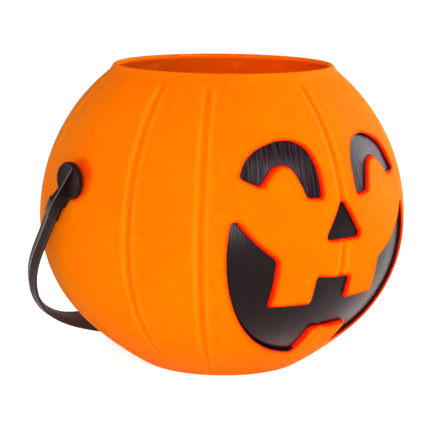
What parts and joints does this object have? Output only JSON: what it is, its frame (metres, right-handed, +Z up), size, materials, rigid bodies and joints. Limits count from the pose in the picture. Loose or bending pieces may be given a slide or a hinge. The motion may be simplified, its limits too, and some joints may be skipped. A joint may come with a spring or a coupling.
{
  "type": "pumpkin candy pail",
  "caption": "Hollow round pumpkin-shaped plastic pail with a pressed-in jack-o'-lantern face painted black and a swinging black strap handle, for carrying sweets.",
  "frame": {"origin": "middle of the flat base, on the surface the pail stands on", "axes": "+Z up along the pail's axis, +X along the handle's pivot axis, and the face looks along -Y"},
  "size_m": [0.2306, 0.216, 0.1768],
  "materials": {
    "orange_plastic": "satin, slightly translucent",
    "black_plastic": "satin black",
    "black_paint": "semi-gloss brushed paint"
  },
  "bodies": {
    "pail": {"pail_shell": "orange_plastic", "left_eye_paint": "black_paint", "right_eye_paint": "black_paint", "nose_paint": "black_paint", "mouth_paint": "black_paint"},
    "handle": {"handle": "black_plastic"}
  },
  "joints": [
    {"name": "handle_swing", "type": "hinge", "parent": "pail", "child": "handle", "pos_m": [0, 0, 0.117], "axis": [1, 0, 0], "range_deg": [0, 295]}
  ]
}
